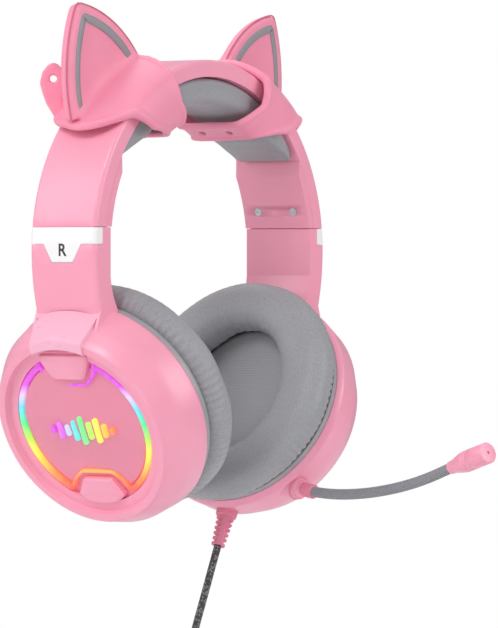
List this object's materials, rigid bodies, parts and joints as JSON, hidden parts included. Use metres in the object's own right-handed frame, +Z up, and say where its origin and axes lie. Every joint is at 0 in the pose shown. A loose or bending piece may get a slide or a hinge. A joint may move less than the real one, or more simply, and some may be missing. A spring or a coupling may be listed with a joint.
{
  "type": "gaming headset",
  "caption": "Over-ear gaming headset with a padded sliding headband, soft cat ears, round cushioned cups with light rings, a bendable microphone boom and a coiled cable.",
  "frame": {"origin": "where the crown of the head meets the middle of the headband cushion", "axes": "+Z up, +X to the wearer's left, -Y forwards, the way the microphone reaches"},
  "size_m": [0.1912, 0.2179, 0.4412],
  "materials": {
    "pink_shell": "satin",
    "grey_plastic": "matte",
    "grey_leather": "soft",
    "pink_inner": "satin",
    "spring_steel": "brushed",
    "braided_cable": "braided",
    "pink_rubber": "matte",
    "circuit_board": "matte",
    "bright_screw": "polished",
    "pink_silicone": "soft",
    "grey_silicone": "soft",
    "pink_face": "gloss",
    "gooseneck": "braided",
    "light_ring": "frosted",
    "white_plate": "gloss",
    "grey_cloth": "woven",
    "grey_cord": "matte"
  },
  "bodies": {
    "headband": {"band_shell": "pink_shell", "band_liner": "pink_inner", "band_spring": "spring_steel", "band_cushion": "grey_leather", "slider_housing_left": "pink_inner", "slider_housing_right": "pink_inner", "housing_screws": "bright_screw"},
    "right_side": {"slider_strip_right": "spring_steel", "cup_shell_right": "pink_shell", "side_plate_right": "white_plate", "arm_cover_right": "pink_shell", "face_panel_right": "pink_face", "light_ring_right": "light_ring", "light_board_right": "circuit_board", "face_badges_right": "pink_face", "lip_ring_right": "grey_plastic", "baffle_right": "grey_plastic", "cup_screws_right": "bright_screw", "ear_pad_right": "grey_leather", "speaker_cloth_right": "grey_cloth", "driver_right": "grey_plastic", "driver_magnet_right": "spring_steel"},
    "left_side": {"slider_strip_left": "spring_steel", "cup_shell_left": "pink_shell", "side_plate_left": "white_plate", "arm_cover_left": "pink_shell", "face_panel_left": "pink_face", "light_ring_left": "light_ring", "light_board_left": "circuit_board", "face_badges_left": "pink_face", "lip_ring_left": "grey_plastic", "baffle_left": "grey_plastic", "cup_screws_left": "bright_screw", "ear_pad_left": "grey_leather", "speaker_cloth_left": "grey_cloth", "driver_left": "grey_plastic", "driver_magnet_left": "spring_steel", "mic_socket": "pink_inner", "control_board": "circuit_board", "strain_relief": "pink_rubber", "cable": "braided_cable", "cable_coil": "braided_cable", "cable_tie": "pink_rubber", "splitter": "pink_rubber", "tail_jack": "grey_cord", "tail_usb": "grey_cord", "jack_plug": "pink_rubber", "usb_plug": "pink_rubber"},
    "ear_right": {"ear_saddle_right": "pink_silicone", "ear_trim_right": "grey_silicone"},
    "ear_left": {"ear_saddle_left": "pink_silicone", "ear_trim_left": "grey_silicone"},
    "boom_lower": {"gooseneck_1": "gooseneck"},
    "boom_middle": {"gooseneck_2": "gooseneck"},
    "boom_upper": {"gooseneck_3": "gooseneck", "mic_housing": "pink_shell", "mic_capsule": "spring_steel"},
    "volume_wheel": {"volume_wheel": "pink_inner"},
    "mute_button": {"mute_button": "pink_inner"}
  },
  "joints": [
    {"name": "right_slider", "type": "slide", "parent": "headband", "child": "right_side", "axis": [0, 0, -1], "range_m": [0, 0.02]},
    {"name": "left_slider", "type": "slide", "parent": "headband", "child": "left_side", "axis": [0, 0, -1], "range_m": [0, 0.02]},
    {"name": "right_ear_shift", "type": "hinge", "parent": "headband", "child": "ear_right", "pos_m": [0, 0, -0.068], "axis": [0, -1, 0], "range_deg": [-5, 7]},
    {"name": "left_ear_shift", "type": "hinge", "parent": "headband", "child": "ear_left", "pos_m": [0, 0, -0.068], "axis": [0, 1, 0], "range_deg": [-5, 7]},
    {"name": "boom_root_bend", "type": "hinge", "parent": "left_side", "child": "boom_lower", "pos_m": [0.043, -0.0407, -0.1814], "axis": [-0.9863, 0.1652, 0], "range_deg": [-14, 18]},
    {"name": "boom_knee_bend", "type": "hinge", "parent": "boom_lower", "child": "boom_middle", "pos_m": [0.0372, -0.08, -0.182], "axis": [-0.9863, 0.1652, 0], "range_deg": [-14, 18]},
    {"name": "boom_elbow_bend", "type": "hinge", "parent": "boom_middle", "child": "boom_upper", "pos_m": [0.0314, -0.114, -0.1756], "axis": [-0.9863, 0.1652, 0], "range_deg": [-14, 18]},
    {"name": "volume_turn", "type": "hinge", "parent": "left_side", "child": "volume_wheel", "pos_m": [0.04624, 0.03642, -0.1716], "axis": [0.9078, 0, -0.4195], "range_deg": [-130, 130]},
    {"name": "mute_press", "type": "slide", "parent": "left_side", "child": "mute_button", "axis": [0.1296, -0.9511, 0.2805], "range_m": [0, 0.0008], "stiffness_N_per_m": 400}
  ]
}
